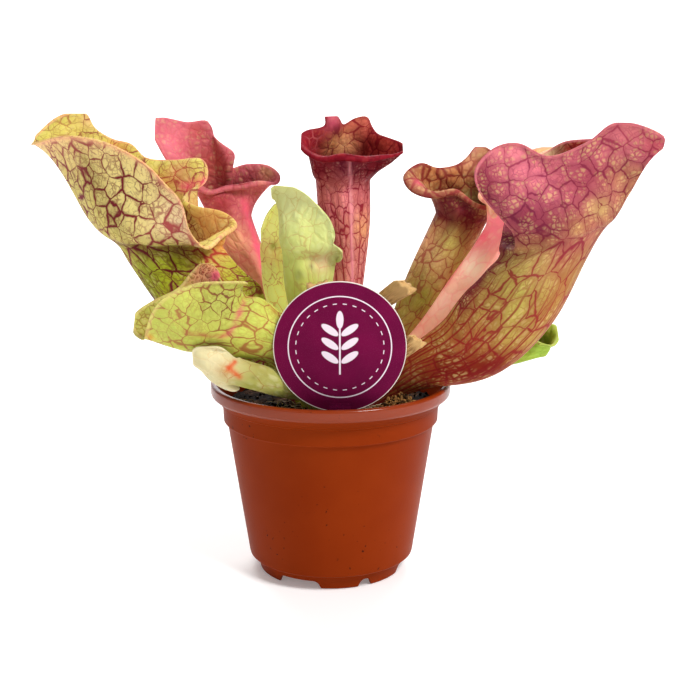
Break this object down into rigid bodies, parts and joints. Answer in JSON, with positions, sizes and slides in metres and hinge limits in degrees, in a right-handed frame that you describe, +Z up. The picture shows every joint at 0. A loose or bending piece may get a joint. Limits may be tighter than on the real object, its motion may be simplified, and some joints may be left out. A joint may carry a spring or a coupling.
{
  "type": "potted pitcher plant",
  "caption": "Pitcher plant in a tapered nursery pot, with hollow trumpet-shaped leaves that flare into hoods, dried leaf bases and a round plant tag.",
  "frame": {"origin": "on the surface the pot stands on, under the pot's axis, which is also the middle of the plant's spread", "axes": "+Z up; +X to the right and along the plant's widest spread; -Y is the front, where the tag faces"},
  "size_m": [0.3016, 0.12, 0.2268],
  "materials": {
    "pot": "moulded terracotta coloured plastic, satin",
    "soil": "dark crumbly peat",
    "rhizome": "rough brown root stock",
    "dry_stub": "dry straw coloured leaf base",
    "tag": "printed card, plum with a white edge",
    "leaf_pale_net": "waxy leaf, pale yellow green with a dark red net",
    "leaf_mauve_net": "waxy leaf, dusty mauve red with a darker net",
    "leaf_lime_net": "waxy leaf, lime green with a fine maroon net",
    "leaf_cream": "waxy leaf, pale cream green",
    "leaf_rose": "waxy leaf, rose pink",
    "leaf_lime_pale": "waxy leaf, pale lime",
    "leaf_wine": "waxy leaf, wine red",
    "leaf_tan_net": "waxy leaf, tan with a red brown net",
    "leaf_coral": "waxy leaf, coral pink to cream",
    "leaf_bright_green": "waxy leaf, bright green"
  },
  "bodies": {
    "root": {"pot": "pot", "soil": "soil", "rhizome": "rhizome", "pitcher_left_large": "leaf_pale_net", "pitcher_right_large": "leaf_mauve_net", "pitcher_left_low": "leaf_lime_net", "pitcher_left_rim": "leaf_cream", "pitcher_back_left": "leaf_rose", "pitcher_middle_green": "leaf_lime_pale", "pitcher_middle_small": "leaf_lime_pale", "pitcher_back_middle": "leaf_wine", "pitcher_back_right": "leaf_tan_net", "pitcher_right_pink": "leaf_coral", "pitcher_right_low": "leaf_bright_green", "stub_left": "dry_stub", "stub_middle": "dry_stub", "stub_right": "dry_stub", "tag": "tag"}
  },
  "joints": []
}
